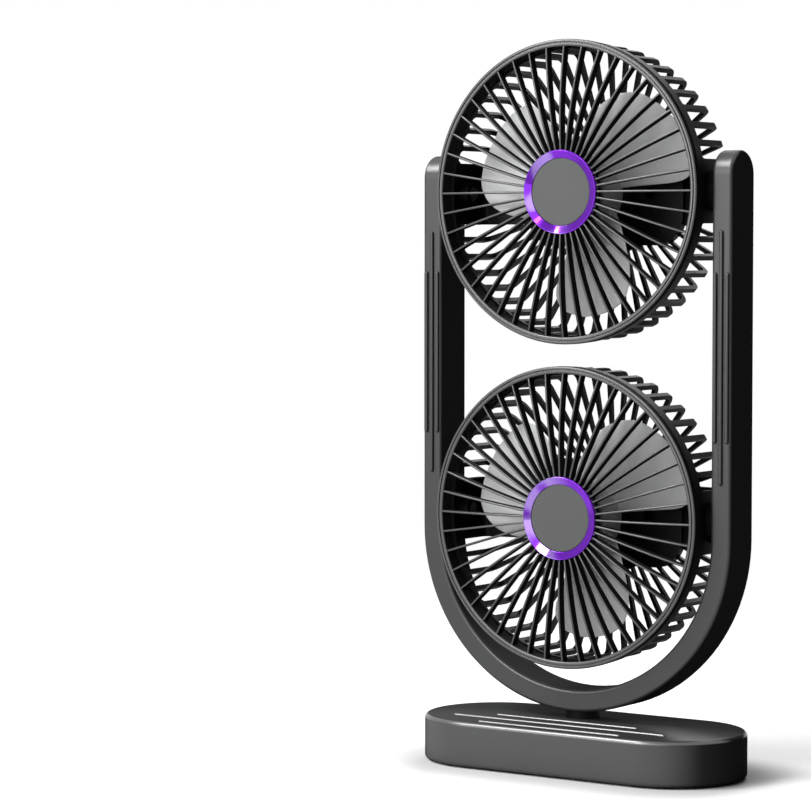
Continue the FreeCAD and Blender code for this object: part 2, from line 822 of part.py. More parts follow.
def motor():
    length = seat_front - motor_front
    s = cyl(motor_r, length, 0, motor_front, 0, Y)
    s = s.makeFillet(motor_round, front_edges(s, motor_front))
    s = s.fuse(cyl(motor_nose_r, motor_nose + length / 2, 0, motor_front - motor_nose, 0, Y))
    y, w = motor_front + motor_slot_front, motor_slot_w / 2
    slot = box(motor_r - motor_slot_deep, y, -w, 2 * motor_r, y + motor_slot_len, w)
    cuts = [turned(slot, 360.0 / motor_slots * (i + 0.5)) for i in range(motor_slots)]
    cuts.append(cyl(shaft_r + run_gap, motor_nose + length - shaft_end / 2, 0, motor_front - motor_nose, 0, Y))
    bite = motor_screw_len - motor_head_t - seat_t + motor_screw_r
    cuts += [cyl(motor_screw_r + screw_bite, bite, x, seat_front - bite, z, Y) for x, z in motor_screw_spots()]
    return one(s.cut(cuts))


def motor_screws():
    y = seat_floor + motor_head_t
    return Part.makeCompound([screw(V(x, y, z), V(0, -1, 0), motor_head_r, motor_head_t, motor_screw_r,
                                    motor_screw_len, False) for x, z in motor_screw_spots()])


def pivot_pins():
    out = []
    for sx in (-1, 1):
        tip = yoke_in + pivot_reach
        s = cyl(pivot_r, tip - pin_start, sx * pin_start, 0, 0, V(sx, 0, 0))
        rim = [e for e in s.Edges if min(abs(e.BoundBox.XMin), abs(e.BoundBox.XMax)) > tip - 1e-6]
        out.append(s.makeChamfer(pin_bevel, rim))
    return Part.makeCompound(out)


def pivot_washers():
    return Part.makeCompound([tube(pivot_r + run_gap, washer_r, washer_t, sx * washer_x, 0, 0, V(sx, 0, 0))
                              for sx in (-1, 1)])


# Impeller pieces
def blade():
    # Leading edge, round tip and swept trailing edge: share of the way from hub to tip, then degrees.
    edge = [(0.27, 6.0), (0.6, 5.6), (0.78, 6.5), (0.9, 9.5), (0.98, 15.5), (1.0, 29.0), (0.95, 51.5),
            (0.86, 60.5), (0.7, 68.5), (0.49, 76.0), (0.29, 83.5), (0.13, 91.5)]
    root = impeller_hub_r - blade_root
    span = blade_tip - impeller_hub_r
    points = [(root, 6.0)] + [(impeller_hub_r + k * span, a) for k, a in edge] + [(root, 101.0)]
    rim = [V(r * math.cos(math.radians(a)), -2 * blade_rise, r * math.sin(math.radians(a))) for r, a in points]
    curve = Part.BSplineCurve()
    curve.interpolate(rim)
    face = Part.Face(Part.Wire([curve.toShape(), Part.makeLine(rim[-1], rim[0])]))
    prism = face.extrude(V(0, 4 * blade_rise, 0))

    def smooth(t):
        t = min(max(t, 0.0), 1.0)
        return t * t * (3 - 2 * t)

    def rise(r, a):
        # The sheet rolls over from front to back in half a cosine wave, less near the hub.
        size = blade_rise * (0.45 + 0.55 * smooth((r - impeller_hub_r) / (0.63 * span)))
        turn = min(max((a - 2.0) / 84.0, 0.0), 1.0)
        return size * math.cos(math.pi * turn) - blade_t
    rows, columns = 9, 15
    grid = []
    for i in range(rows):
        r = root - blade_root + (span + 3 * blade_root) * i / (rows - 1)
        angles = [-8.0 + 122.0 * j / (columns - 1) for j in range(columns)]
        grid.append([V(r * math.cos(math.radians(a)), rise(r, a), r * math.sin(math.radians(a)))
                     for a in angles])
    surface = Part.BSplineSurface()
    surface.interpolate(grid)
    sheet = surface.toShape().extrude(V(0, blade_t, 0))
    core = cyl(impeller_hub_r - impeller_wall / 2, 8 * blade_rise, 0, -4 * blade_rise, 0, Y)
    return sheet.common(prism).cut(core)


def impeller():
    r, w, c = impeller_hub_r, impeller_wall, impeller_bevel
    f, b = impeller_hub_front, impeller_hub_back
    bore, core, floor = shaft_r + press_gap, impeller_core_r, f + 1.5 * impeller_wall
    core_end = motor_front - motor_nose - impeller_core_gap
    hub = revolve_y([(bore, f), (r - c, f), (on_circle((r - c, f + c), c, -math.pi / 4), (r, f + c)), (r, b),
                     (r - w, b), (r - w, floor), (core, floor), (core, core_end), (bore, core_end)])
    one_blade = blade()
    return one(hub.fuse([turned(one_blade, 360.0 / blades * i) for i in range(blades)]))


def motor_shaft():
    front = impeller_hub_front - shaft_tip
    s = cyl(shaft_r, seat_front - shaft_end - front, 0, front, 0, Y)
    return s.makeChamfer(shaft_bevel, front_edges(s, front))


def impeller_nut():
    f = impeller_hub_front
    corners = [on_circle((0, 0), nut_r, math.radians(60 * i)) for i in range(6)]
    dome = Part.makeSphere(nut_dome, V(0, f - nut_t, 0)).common(cyl(nut_r, nut_r, 0, f - nut_t - nut_r, 0, Y))
    s = prism_y(corners, f - nut_t, f).fuse(dome)
    return one(s.cut(cyl(shaft_r + press_gap, shaft_tip + run_gap, 0, f - shaft_tip - run_gap, 0, Y)))


os.makedirs("parts", exist_ok=True)
nodes = {
    "base_shell": base_shell(), "base_plate": base_plate(), "rubber_feet": rubber_feet(),
    "base_screws": base_screws(), "ballast": ballast(), "battery": battery(),
    "control_board": control_board(), "usb_socket": usb_socket(), "tact_switch": tact_switch(),
    "power_button": power_button(), "swivel_bush": swivel_bush(), "spindle": spindle(),
    "spindle_clip": spindle_clip(), "yoke_front": yoke_front(), "yoke_rear": yoke_rear(),
    "yoke_screws": yoke_screws(),
}
head = {
    "pivot_bushes": pivot_bushes(), "front_grille": front_grille(), "hub_ring": hub_ring(),
    "hub_cap": hub_cap(), "rear_cage": rear_cage(), "rear_cover": rear_cover(), "motor": motor(),
    "motor_screws": motor_screws(), "pivot_pins": pivot_pins(), "pivot_washers": pivot_washers(),
    "impeller": impeller(), "motor_shaft": motor_shaft(), "impeller_nut": impeller_nut(),
}
for name, shape in head.items():
    nodes["lower_" + name] = moved(shape, 0, lower_z)
    nodes["upper_" + name] = moved(shape, 0, upper_z)
for name, shape in nodes.items():
    shape.exportStep("parts/" + name + ".step")
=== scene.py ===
"""Dual-head desk fan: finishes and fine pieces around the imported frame, with a stage and a camera."""

import math

import bmesh
import bpy
import numpy as np
from bpy.props import FloatProperty, FloatVectorProperty, IntProperty, PointerProperty
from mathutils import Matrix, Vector


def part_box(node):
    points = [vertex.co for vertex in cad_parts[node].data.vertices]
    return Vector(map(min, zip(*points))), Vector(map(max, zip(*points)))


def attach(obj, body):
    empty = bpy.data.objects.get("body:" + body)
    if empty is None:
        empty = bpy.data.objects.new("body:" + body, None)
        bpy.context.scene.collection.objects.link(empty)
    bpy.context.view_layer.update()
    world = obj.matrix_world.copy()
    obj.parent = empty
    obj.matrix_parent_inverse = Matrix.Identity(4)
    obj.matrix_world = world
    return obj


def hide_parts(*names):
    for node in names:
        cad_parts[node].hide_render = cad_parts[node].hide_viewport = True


bl_info = {
    "name": "Dual-head desk fan",
    "version": (1, 0, 0),
    "blender": (4, 5, 0),
    "location": "3D View > Sidebar > Fan",
    "description": "Builds the fine pieces and finishes of a dual-head desk fan on its frame",
    "category": "Object",
}

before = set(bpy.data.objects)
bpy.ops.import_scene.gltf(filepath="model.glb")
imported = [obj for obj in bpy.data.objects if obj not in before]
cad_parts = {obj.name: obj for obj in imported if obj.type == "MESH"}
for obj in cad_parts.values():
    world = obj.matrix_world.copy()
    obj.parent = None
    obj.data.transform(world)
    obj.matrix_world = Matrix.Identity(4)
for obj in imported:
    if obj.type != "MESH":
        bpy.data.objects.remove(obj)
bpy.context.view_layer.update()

HEADS = ("lower", "upper")
BLADES = 3
MM = 0.001
WHITE = (1.0, 1.0, 1.0, 1.0)

# A blade's edges: share of the way from hub to tip, and angle about the spin axis in degrees.
LEADING_EDGE = np.array([
    (-0.06, 6), (0.27, 6), (0.6, 5.6), (0.78, 6.5), (0.9, 9.5), (0.98, 15.5), (1, 29)])
TRAILING_EDGE = np.array([
    (-0.06, 101), (0.13, 91.5), (0.29, 83.5), (0.49, 76), (0.7, 68.5), (0.86, 60.5), (0.95, 51.5), (1, 29)])

# Lamps: name, place, width and height in metres, and power in watts. All face one point.
LAMP_TARGET = (0.0, 0.0, 0.17)
LAMPS = (
    ("key", (-0.62, -0.62, 1.12), 0.45, 0.45, 13.0),
    ("side", (-0.70, -1.57, 0.57), 0.70, 0.80, 10.5),
    ("fill", (-0.30, -1.32, 0.85), 0.36, 0.30, 4.5),
    ("front", (0.22, -1.50, 0.60), 1.10, 1.10, 5.0),
    ("back", (-0.45, 1.45, 0.95), 0.80, 0.80, 13.0),
)

# The photograph's view, from a perspective fit to the outline. The lens is for the sensor's width in mm.
CAMERA_PLACE = (0.779878, -1.279059, 0.251665)
CAMERA_DIRECTION = (-0.56841, 0.82122, -0.05007)
CAMERA_LENS = 136.881
SENSOR_WIDTH = 36.0


def box_of(node):
    """Lowest and highest corner of a frame node, as arrays."""
    low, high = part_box(node)
    return np.array(low), np.array(high)


def head_centre(head):
    """The point of a head where its spin axis meets its tilt axis."""
    low, high = box_of(head + "_pivot_pins")
    return (low + high) / 2


grille_low, grille_high = box_of("lower_front_grille")
hub_low, hub_high = box_of("lower_hub_ring")


class FanSizes(bpy.types.PropertyGroup):
    """Sizes of the fine pieces, measured from the middle of a head."""
    ring_radius: FloatProperty(
        name="Ring radius", description="Outer radius of the front ring", unit="LENGTH",
        default=(grille_high[0] - grille_low[0]) / 2)
    ring_width: FloatProperty(
        name="Ring width", description="Width of the front ring", unit="LENGTH", default=3.5 * MM)
    ring_front: FloatProperty(
        name="Ring front", description="How far the ring's face stands in front of the tilt axis",
        unit="LENGTH", default=20.2 * MM)
    ring_depth: FloatProperty(
        name="Ring depth", description="Depth of the ring", unit="LENGTH", default=3.8 * MM)
    groove_radius: FloatProperty(
        name="Groove radius", description="Radius of the groove in the ring's face", unit="LENGTH",
        default=71.4 * MM)
    groove_width: FloatProperty(
        name="Groove width", description="Width of that groove", unit="LENGTH", default=0.5 * MM)
    spoke_count: IntProperty(
        name="Spokes", description="Number of radial fins of a grille", default=44)
    spoke_width: FloatProperty(
        name="Spoke width", description="Thickness of a fin", unit="LENGTH", default=1.1 * MM)
    spoke_depth: FloatProperty(
        name="Spoke depth", description="Depth of a fin along the air flow", unit="LENGTH",
        default=4.8 * MM)
    spoke_bow: FloatProperty(
        name="Spoke bow", description="How far a fin bows forwards halfway between hub and ring",
        unit="LENGTH", default=1.7 * MM)
    hub_radius: FloatProperty(
        name="Hub radius", description="Outer radius of the hub ring", unit="LENGTH",
        default=(hub_high[0] - hub_low[0]) / 2)
    hub_ring_width: FloatProperty(
        name="Hub ring width", description="Width of the plated hub ring", unit="LENGTH",
        default=3.9 * MM)
    hub_ring_dish: FloatProperty(
        name="Hub ring dish", description="How far the hub ring's face falls towards its inner edge",
        unit="LENGTH", default=1.3 * MM)
    hub_plate_depth: FloatProperty(
        name="Hub plate depth", description="Depth of the plate behind the hub ring", unit="LENGTH",
        default=2.8 * MM)
    hub_front: FloatProperty(
        name="Hub front", description="How far the hub ring stands in front of the tilt axis",
        unit="LENGTH", default=-hub_low[1])
    hub_seat: FloatProperty(
        name="Hub seat", description="How far the hub ring's seat stands in front of the tilt axis",
        unit="LENGTH", default=-hub_high[1])
    fan_hub_radius: FloatProperty(
        name="Fan hub radius", description="Radius of the impeller's hub", unit="LENGTH",
        default=19.0 * MM)
    fan_hub_front: FloatProperty(
        name="Fan hub front", description="How far the impeller's hub stands in front of the tilt axis",
        unit="LENGTH", default=12.0 * MM)
    fan_hub_back: FloatProperty(
        name="Fan hub back", description="How far the impeller's hub reaches behind the tilt axis",
        unit="LENGTH", default=4.5 * MM)
    fan_hub_wall: FloatProperty(
        name="Fan hub wall", description="Thickness of the impeller hub's side wall", unit="LENGTH",
        default=2.0 * MM)
    fan_tip_radius: FloatProperty(
        name="Blade tip radius", description="Radius of the blades' tips", unit="LENGTH",
        default=60.2 * MM)
    blade_thickness: FloatProperty(
        name="Blade thickness", description="Greatest thickness of a blade", unit="LENGTH",
        default=1.5 * MM)
    blade_rise: FloatProperty(
        name="Blade rise", description="How far a blade's edges stand behind and before its middle",
        unit="LENGTH", default=8.0 * MM)
    arm_width: FloatProperty(
        name="Arm width", description="Width of a yoke arm's front face", unit="LENGTH",
        default=10.6 * MM)
    bead_long: FloatProperty(
        name="Long bead", description="Straight length of an arm's middle bead", unit="LENGTH",
        default=117.4 * MM)
    bead_short: FloatProperty(
        name="Short bead", description="Straight length of the beads beside it", unit="LENGTH",
        default=78.0 * MM)
    bead_pitch: FloatProperty(
        name="Bead pitch", description="Distance between beads", unit="LENGTH", default=3.2 * MM)
    bead_width: FloatProperty(
        name="Bead width", description="Width of a bead", unit="LENGTH", default=2.1 * MM)
    bead_rise: FloatProperty(
        name="Bead rise", description="How far a bead stands proud of its arm", unit="LENGTH",
        default=1.15 * MM)


class FanColours(bpy.types.PropertyGroup):
    """Colours of the finishes, as linear values."""
    frame_grey: FloatVectorProperty(
        name="Frame", description="Satin plastic of the base and the yoke", subtype="COLOR",
        default=(0.043, 0.044, 0.0445))
    grille_grey: FloatVectorProperty(
        name="Grille", description="Satin plastic of the front grilles", subtype="COLOR",
        default=(0.026, 0.0265, 0.027))
    cage_black: FloatVectorProperty(
        name="Cage", description="Black plastic of the rear cages", subtype="COLOR",
        default=(0.006, 0.006, 0.0063))
    blade_grey: FloatVectorProperty(
        name="Blades", description="Light plastic of the impellers", subtype="COLOR",
        default=(0.66, 0.666, 0.673))
    ring_purple: FloatVectorProperty(
        name="Hub ring", description="Purple plating of the hub rings", subtype="COLOR",
        default=(0.13, 0.004, 0.42))
    cap_grey: FloatVectorProperty(
        name="Hub cap", description="Matt plastic of the hub caps", subtype="COLOR",
        default=(0.135, 0.138, 0.136))


class Value:
    """A shader value: arithmetic on it adds Math nodes."""

    def __init__(self, graph, socket):
        self.graph = graph
        self.socket = socket

    def math(self, operation, first, second=0.0):
        """The result of a Math node on two values or numbers."""
        return self.graph.add("ShaderNodeMath", {"operation": operation}, {0: first, 1: second})[0]

    def __add__(self, other):
        return self.math("ADD", self, other)

    __radd__ = __add__

    def __sub__(self, other):
        return self.math("SUBTRACT", self, other)

    def __rsub__(self, other):
        return self.math("SUBTRACT", other, self)

    def __mul__(self, other):
        return self.math("MULTIPLY", self, other)

    __rmul__ = __mul__

    def __pow__(self, other):
        return self.math("POWER", self, other)

    def __abs__(self):
        return self.math("ABSOLUTE", self)

    def most(self, other):
        """The larger of two values."""
        return self.math("MAXIMUM", self, other)

    def within(self, low, high):
        """Smooth step from 0 at low to 1 at high."""
        settings = {"interpolation_type": "SMOOTHSTEP"}
        values = {"Value": self, "From Min": low, "From Max": high}
        return self.graph.add("ShaderNodeMapRange", settings, values)[0]


class Graph:
    """The node tree of one material or of the world."""

    def __init__(self, tree):
        self.tree = tree
        tree.nodes.clear()

    def add(self, kind, settings=None, values=None):
        """Adds a node, sets it up, then sets or links its sockets; returns its outputs as values."""
        node = self.tree.nodes.new(kind)
        for name, setting in (settings or {}).items():
            setattr(node, name, setting)
        for key, value in (values or {}).items():
            if isinstance(value, Value):
                self.tree.links.new(value.socket, node.inputs[key])
            else:
                node.inputs[key].default_value = value
        return [Value(self, socket) for socket in node.outputs]

    def place(self):
        """Object coordinates."""
        return self.add("ShaderNodeTexCoord")[3]

    def facing(self):
        """How squarely the surface faces along each axis of the object, from -1 to 1."""
        return self.add("ShaderNodeSeparateXYZ", None, {0: self.add("ShaderNodeTexCoord")[1]})

    def noise(self, scale, detail, roughness=0.5):
        """Noise of a scale in features per metre, from about 0 to 1."""
        values = {"Vector": self.place(), "Scale": scale, "Detail": detail, "Roughness": roughness}
        return self.add("ShaderNodeTexNoise", None, values)[0]

    def moulding(self, grain):
        """The fine grain and the faint clouding of moulded plastic."""
        cloud_scale = 38.0
        return self.noise(grain, 3.0, 0.6), self.noise(cloud_scale, 3.0, 0.55)

    def tint(self, colour, shade):
        """A colour made lighter and darker by a value around 1."""
        grey = self.add("ShaderNodeCombineColor", None, {0: shade, 1: shade, 2: shade})[0]
        settings = {"data_type": "RGBA", "blend_type": "MULTIPLY"}
        return self.add("ShaderNodeMix", settings, {0: 1.0, 6: (*colour, 1.0), 7: grey})[2]

    def bump(self, height, distance, strength):
        """The normal of a surface with small heights, in metres at the most."""
        values = {"Height": height, "Distance": distance, "Strength": strength}
        return self.add("ShaderNodeBump", None, values)[0]

    def surface(self, values):
        """The material's one shader, with these values or links on its sockets."""
        shader = self.add("ShaderNodeBsdfPrincipled", None, values)[0]
        self.add("ShaderNodeOutputMaterial", None, {"Surface": shader})

    def mixed(self, factor, first, second):
        """Two shaders mixed by a factor."""
        return self.add("ShaderNodeMixShader", None, {0: factor, 1: first, 2: second})[0]


def colours():
    """The colours that are set in the scene."""
    return bpy.context.scene.fan_colours


def finish(name):
    """The scene's own material of that name, kept apart from the frame's slots."""
    return bpy.data.materials[name + "_finish"]


def new_finish(name):
    """The empty graph of a new finish, or None where the finish exists already."""
    if name + "_finish" in bpy.data.materials:
        return None
    material = bpy.data.materials.new(name + "_finish")
    material.use_nodes = True
    return Graph(material.node_tree)


def moulded(name, colour, rough, grain, gloss):
    """Moulded plastic: a fine spark-eroded grain, faint clouding, and a thin coat whose weight is the
    gloss."""
    graph = new_finish(name)
    if graph:
        fine, cloud = graph.moulding(grain)
        graph.surface({
            "Base Color": graph.tint(colour, 0.92 + cloud * 0.10 + fine * 0.06),
            "Roughness": rough - 0.05 + cloud * 0.06 + fine * 0.05,
            "Specular IOR Level": 0.0,
            "Coat Weight": gloss * (0.85 + cloud * 0.3),
            "Coat Roughness": 0.4,
            "Normal": graph.bump(fine, 0.03 * MM, 0.35),
        })
    return finish(name)


def satin(name, colour, grain, gloss_rough, gloss_index, face_share, fade, edge_share):
    """Dark moulded plastic, matt on its sides. Its coat is partly a real satin and partly a painted sheen:
    its weight follows which way a face points, so fronts and round edges gleam, a top that leans forwards
    gets a little, and sides and a top that leans back stay dull as if in shade. The coat fades in, over a
    range of facing front or back, to the face's share. It is thin on a top that leans forwards, and has a
    share of its own on round edges below a top."""
    side_share, crown_share = 0.015, 0.11
    graph = new_finish(name)
    if graph:
        fine, cloud = graph.moulding(grain)
        backward, upward = graph.facing()[1:]
        squarely = abs(backward)
        # Painted sheen, partly real satin: the coat's weight is set by which way each face points, not
        # spread evenly over the plastic.
        face = squarely.within(*fade) * face_share
        crown = (backward * -1.0).within(0.0, 0.09) * upward.within(0.90, 0.97) * crown_share
        below_top = upward.within(0.12, 0.35) * (1 - upward.within(0.90, 0.985))
        edge = below_top * squarely.within(0.10, 0.35)
        real_and_painted_sheen = face.most(crown).most(edge * edge_share)
        graph.surface({
            "Base Color": graph.tint(colour, 0.90 + cloud * 0.14 + fine * 0.06),
            "Roughness": 0.45 + cloud * 0.06 + fine * 0.05,
            "Specular IOR Level": 0.0,
            "Coat Weight": side_share + real_and_painted_sheen * (0.90 + cloud * 0.08),
            "Coat Roughness": gloss_rough,
            "Coat IOR": gloss_index,
            "Normal": graph.bump(fine, 0.03 * MM, 0.35),
        })
    return finish(name)


def base_plastic():
    return satin("base_plastic", colours().frame_grey, grain=3600.0, gloss_rough=0.28,
                 gloss_index=2.0, face_share=0.50, fade=(0.55, 0.98), edge_share=1.0)


def yoke_plastic():
    return satin("yoke_plastic", colours().frame_grey, grain=3600.0, gloss_rough=0.34,
                 gloss_index=2.0, face_share=0.30, fade=(0.30, 0.95), edge_share=0.55)


def grille_plastic():
    return satin("grille_plastic", colours().grille_grey, grain=4200.0, gloss_rough=0.34,
                 gloss_index=1.75, face_share=1.0, fade=(0.10, 0.55), edge_share=1.0)


def cage_plastic():
    return moulded("cage_plastic", colours().cage_black, rough=0.55, grain=3000.0, gloss=0.22)


def cap_plastic():
    return moulded("cap_plastic", colours().cap_grey, rough=0.60, grain=2600.0, gloss=0.15)


def bearing_plastic():
    return moulded("bearing_plastic", (0.05, 0.05, 0.052), rough=0.45, grain=3000.0, gloss=0.5)


def rubber():
    return moulded("rubber", (0.018, 0.018, 0.018), rough=0.78, grain=2200.0, gloss=0.15)


def blade_plastic():
    """Light semi-gloss plastic with a fine grain and faint flow marks."""
    name = "blade_plastic"
    graph = new_finish(name)
    if graph:
        fine = graph.noise(2400.0, 2.0)
        flow = graph.noise(70.0, 4.0, 0.6)
        graph.surface({
            "Base Color": graph.tint(colours().blade_grey, 0.95 + flow * 0.07 + fine * 0.02),
            "Roughness": 0.30 + flow * 0.10,
            "Specular IOR Level": 0.3,
            "Normal": graph.bump(fine, 0.02 * MM, 0.25),
        })
    return finish(name)


def purple_plating():
    """Bright plating over plastic: a metal with a faint orange-peel ripple, under a coat that is thin over
    most of the ring and thick in patches on its left side, a painted reflection that whitens the left."""
    name = "purple_plating"
    thin, thick = 0.10, 0.95
    graph = new_finish(name)
    if graph:
        peel = graph.noise(900.0, 2.0)
        haze = graph.noise(120.0, 3.0)
        left = graph.add("ShaderNodeSeparateXYZ", None, {0: graph.place()})[0] * -1.0
        patches = graph.noise(55.0, 1.0).within(0.45, 0.53)
        # Painted reflection: thick coat only in noise patches on the left side, so the ring's left shows
        # whiter reflections.
        left_painted_reflection = patches * left.within(-8.0 * MM, 8.0 * MM)
        graph.surface({
            "Base Color": graph.tint(colours().ring_purple, 0.94 + haze * 0.12),
            "Metallic": 1.0,
            "Roughness": 0.05 + haze * 0.05,
            "Coat Weight": thin + left_painted_reflection * (thick - thin),
            "Coat Roughness": 0.05,
            "Coat IOR": 2.5,
            "Normal": graph.bump(peel, 0.03 * MM, 0.3),
        })
    return finish(name)


def metal(name, colour, rough):
    """Turned metal: fine scratches and broad stains, from two noises of different scale."""
    graph = new_finish(name)
    if graph:
        scratch = graph.noise(5200.0, 4.0, 0.7)
        stain = graph.noise(160.0, 3.0)
        graph.surface({
            "Base Color": graph.tint(colour, 0.90 + stain * 0.14 + scratch * 0.06),
            "Metallic": 1.0,
            "Roughness": rough - 0.06 + stain * 0.08 + scratch * 0.08,
            "Normal": graph.bump(scratch, 0.02 * MM, 0.3),
        })
    return finish(name)


def steel():
    return metal("steel", (0.62, 0.62, 0.63), 0.30)


def dark_steel():
    return metal("dark_steel", (0.09, 0.09, 0.10), 0.36)


def foil():
    return metal("foil", (0.66, 0.67, 0.69), 0.34)


def board_lacquer():
    """Green lacquer over copper tracks: square cells lighten the colour where copper lies under it."""
    name = "board_lacquer"
    green = (0.03, 0.17, 0.08)
    graph = new_finish(name)
    if graph:
        settings = {"distance": "MANHATTAN", "feature": "F1"}
        values = {"Vector": graph.place(), "Scale": 420.0}
        copper = graph.add("ShaderNodeTexVoronoi", settings, values)[0].within(0.35, 0.42)
        graph.surface({
            "Base Color": graph.tint(green, 0.8 + copper * 0.6),
            "Roughness": 0.28 + copper * 0.08,
            "Normal": graph.bump(copper, 0.04 * MM, 0.4),
        })
    return finish(name)


class Skin:
    """Collects closed surfaces, and makes one mesh object of them."""

    def __init__(self):
        self.points = []
        self.faces = []
        self.count = 0

    def grid(self, points, closed_rows):
        """Quads between neighbours of a (rows, columns, 3) array. Its columns wrap round, and so do its
        rows where they are closed. Returns the points' numbers."""
        rows, columns = points.shape[:2]
        index = self.count + np.arange(rows * columns).reshape(rows, columns)
        if closed_rows:
            index = np.concatenate([index, index[:1]], 0)
        index = np.concatenate([index, index[:, :1]], 1)
        quads = np.stack([index[:-1, :-1], index[1:, :-1], index[1:, 1:], index[:-1, 1:]], -1)
        self.faces += quads.reshape(-1, 4).tolist()
        self.points.append(points.reshape(-1, 3))
        self.count += rows * columns
        return index

    def hoop(self, points):
        """A surface that closes both ways, as a turned profile does."""
        self.grid(points, True)

    def tube(self, points):
        """A surface of closed outlines, with one face over the first outline and one over the last."""
        index = self.grid(points, False)
        self.faces.append(index[0, :-1].tolist())
        self.faces.append(index[-1, :-1].tolist())

    def make(self, name, material, body, replaced, sharp_degrees=40.0):
        """The finished object, with outward faces and smooth shading below the sharp angle."""
        mesh = bpy.data.meshes.new(name)
        mesh.from_pydata(np.concatenate(self.points).tolist(), [], self.faces)
        shaped = bmesh.new()
        shaped.from_mesh(mesh)
        bmesh.ops.recalc_face_normals(shaped, faces=shaped.faces)
        shaped.to_mesh(mesh)
        shaped.free()
        mesh.shade_smooth()
        mesh.set_sharp_from_angle(angle=math.radians(sharp_degrees))
        mesh.materials.append(material)
        made = bpy.data.objects.new(name, mesh)
        bpy.context.scene.collection.objects.link(made)
        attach(made, body)
        if replaced:
            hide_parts(*replaced)


def rounded(corners, radii, steps=5):
    """A closed profile whose corners are arcs: each corner's arc joins the two sides at equal distances
    from it, with one more point on each side that keeps the side's shading flat."""
    hold_share = 0.05
    corners = np.array(corners, float)
    befores, afters = np.roll(corners, 1, 0), np.roll(corners, -1, 0)
    out = []
    for before, corner, after, radius in zip(befores, corners, afters, radii):
        if radius <= 0:
            out.append(corner[None])
            continue
        a = (before - corner) / np.linalg.norm(before - corner)
        b = (after - corner) / np.linalg.norm(after - corner)
        half = math.acos(np.clip(a @ b, -1, 1)) / 2
        reach = radius / math.tan(half)
        middle = corner + (a + b) / np.linalg.norm(a + b) * radius / math.sin(half)
        start, end = corner + a * reach - middle, corner + b * reach - middle
        turn = math.acos(np.clip(start @ end / radius ** 2, -1, 1))
        t = np.linspace(0, 1, steps + 1)[:, None]
        arc = middle + (np.sin((1 - t) * turn) * start + np.sin(t * turn) * end) / math.sin(turn)
        hold = hold_share * radius
        out.append(np.concatenate([arc[:1] + a * hold, arc, arc[-1:] + b * hold]))
    return np.concatenate(out)


def turned(profile, centre, segments):
    """A profile of (radius, y) turned about the head's spin axis: x = r cos a, z = r sin a."""
    a = np.linspace(0, 2 * math.pi, segments, endpoint=False)[:, None]
    r, y = profile[:, 0][None], profile[:, 1][None]
    return np.stack([r * np.cos(a), y + 0 * a, r * np.sin(a)], -1) + centre


def spokes(sizes, centre):
    """Radial fins: a rounded section, narrower at its back, carried from the hub to the ring on a
    parabola that bows forwards. Every fin is one turn of the first."""
    s = sizes
    taper = 0.72
    in_hub, in_ring = 0.6 * MM, 0.75 * s.ring_width
    behind_hub, behind_ring = 0.9 * MM, 0.5 * MM
    half, deep = s.spoke_width / 2, s.spoke_depth
    front_round, back_round = half * 0.9, half * 0.5
    section = rounded([(-half, 0), (half, 0), (half * taper, deep), (-half * taper, deep)],
                      [front_round, front_round, back_round, back_round], 4)
    t = np.linspace(0, 1, 13)
    r = (s.hub_radius - in_hub) * (1 - t) + (s.ring_radius - in_ring) * t
    straight = (behind_hub - s.hub_front) * (1 - t) + (behind_ring - s.ring_front) * t
    y = straight - 4 * s.spoke_bow * t * (1 - t)
    a = np.arange(s.spoke_count) * 2 * math.pi / s.spoke_count
    cos, sin = np.cos(a)[:, None, None], np.sin(a)[:, None, None]
    across, along = section[None, None, :, 0], section[None, None, :, 1]
    r, y = r[None, :, None], y[None, :, None]
    points = [r * cos - across * sin, y + along + 0 * cos, r * sin + across * cos]
    return np.stack(np.broadcast_arrays(*points), -1) + centre


def through(points, steps=16):
    """A smooth curve through points: each span is a Catmull-Rom cubic of the points around it."""
    p = np.concatenate([2 * points[:1] - points[1:2], points, 2 * points[-1:] - points[-2:-1]])
    p0, p1, p2, p3 = (p[i:len(p) - 3 + i, None] for i in range(4))
    t = np.linspace(0, 1, steps, endpoint=False)[None, :, None]
    bend = 2 * p0 - 5 * p1 + 4 * p2 - p3 + t * (3 * p1 - p0 - 3 * p2 + p3)
    spans = p1 + t / 2 * (p2 - p0 + t * bend)
    return np.concatenate([spans.reshape(-1, 2), points[-1:]])


def blade_edges(share):
    """Leading and trailing angle of a blade, in degrees, read from the edges' smooth curves at a share
    of the way from hub to tip."""
    return [np.interp(share, *through(edge).T) for edge in (LEADING_EDGE, TRAILING_EDGE)]


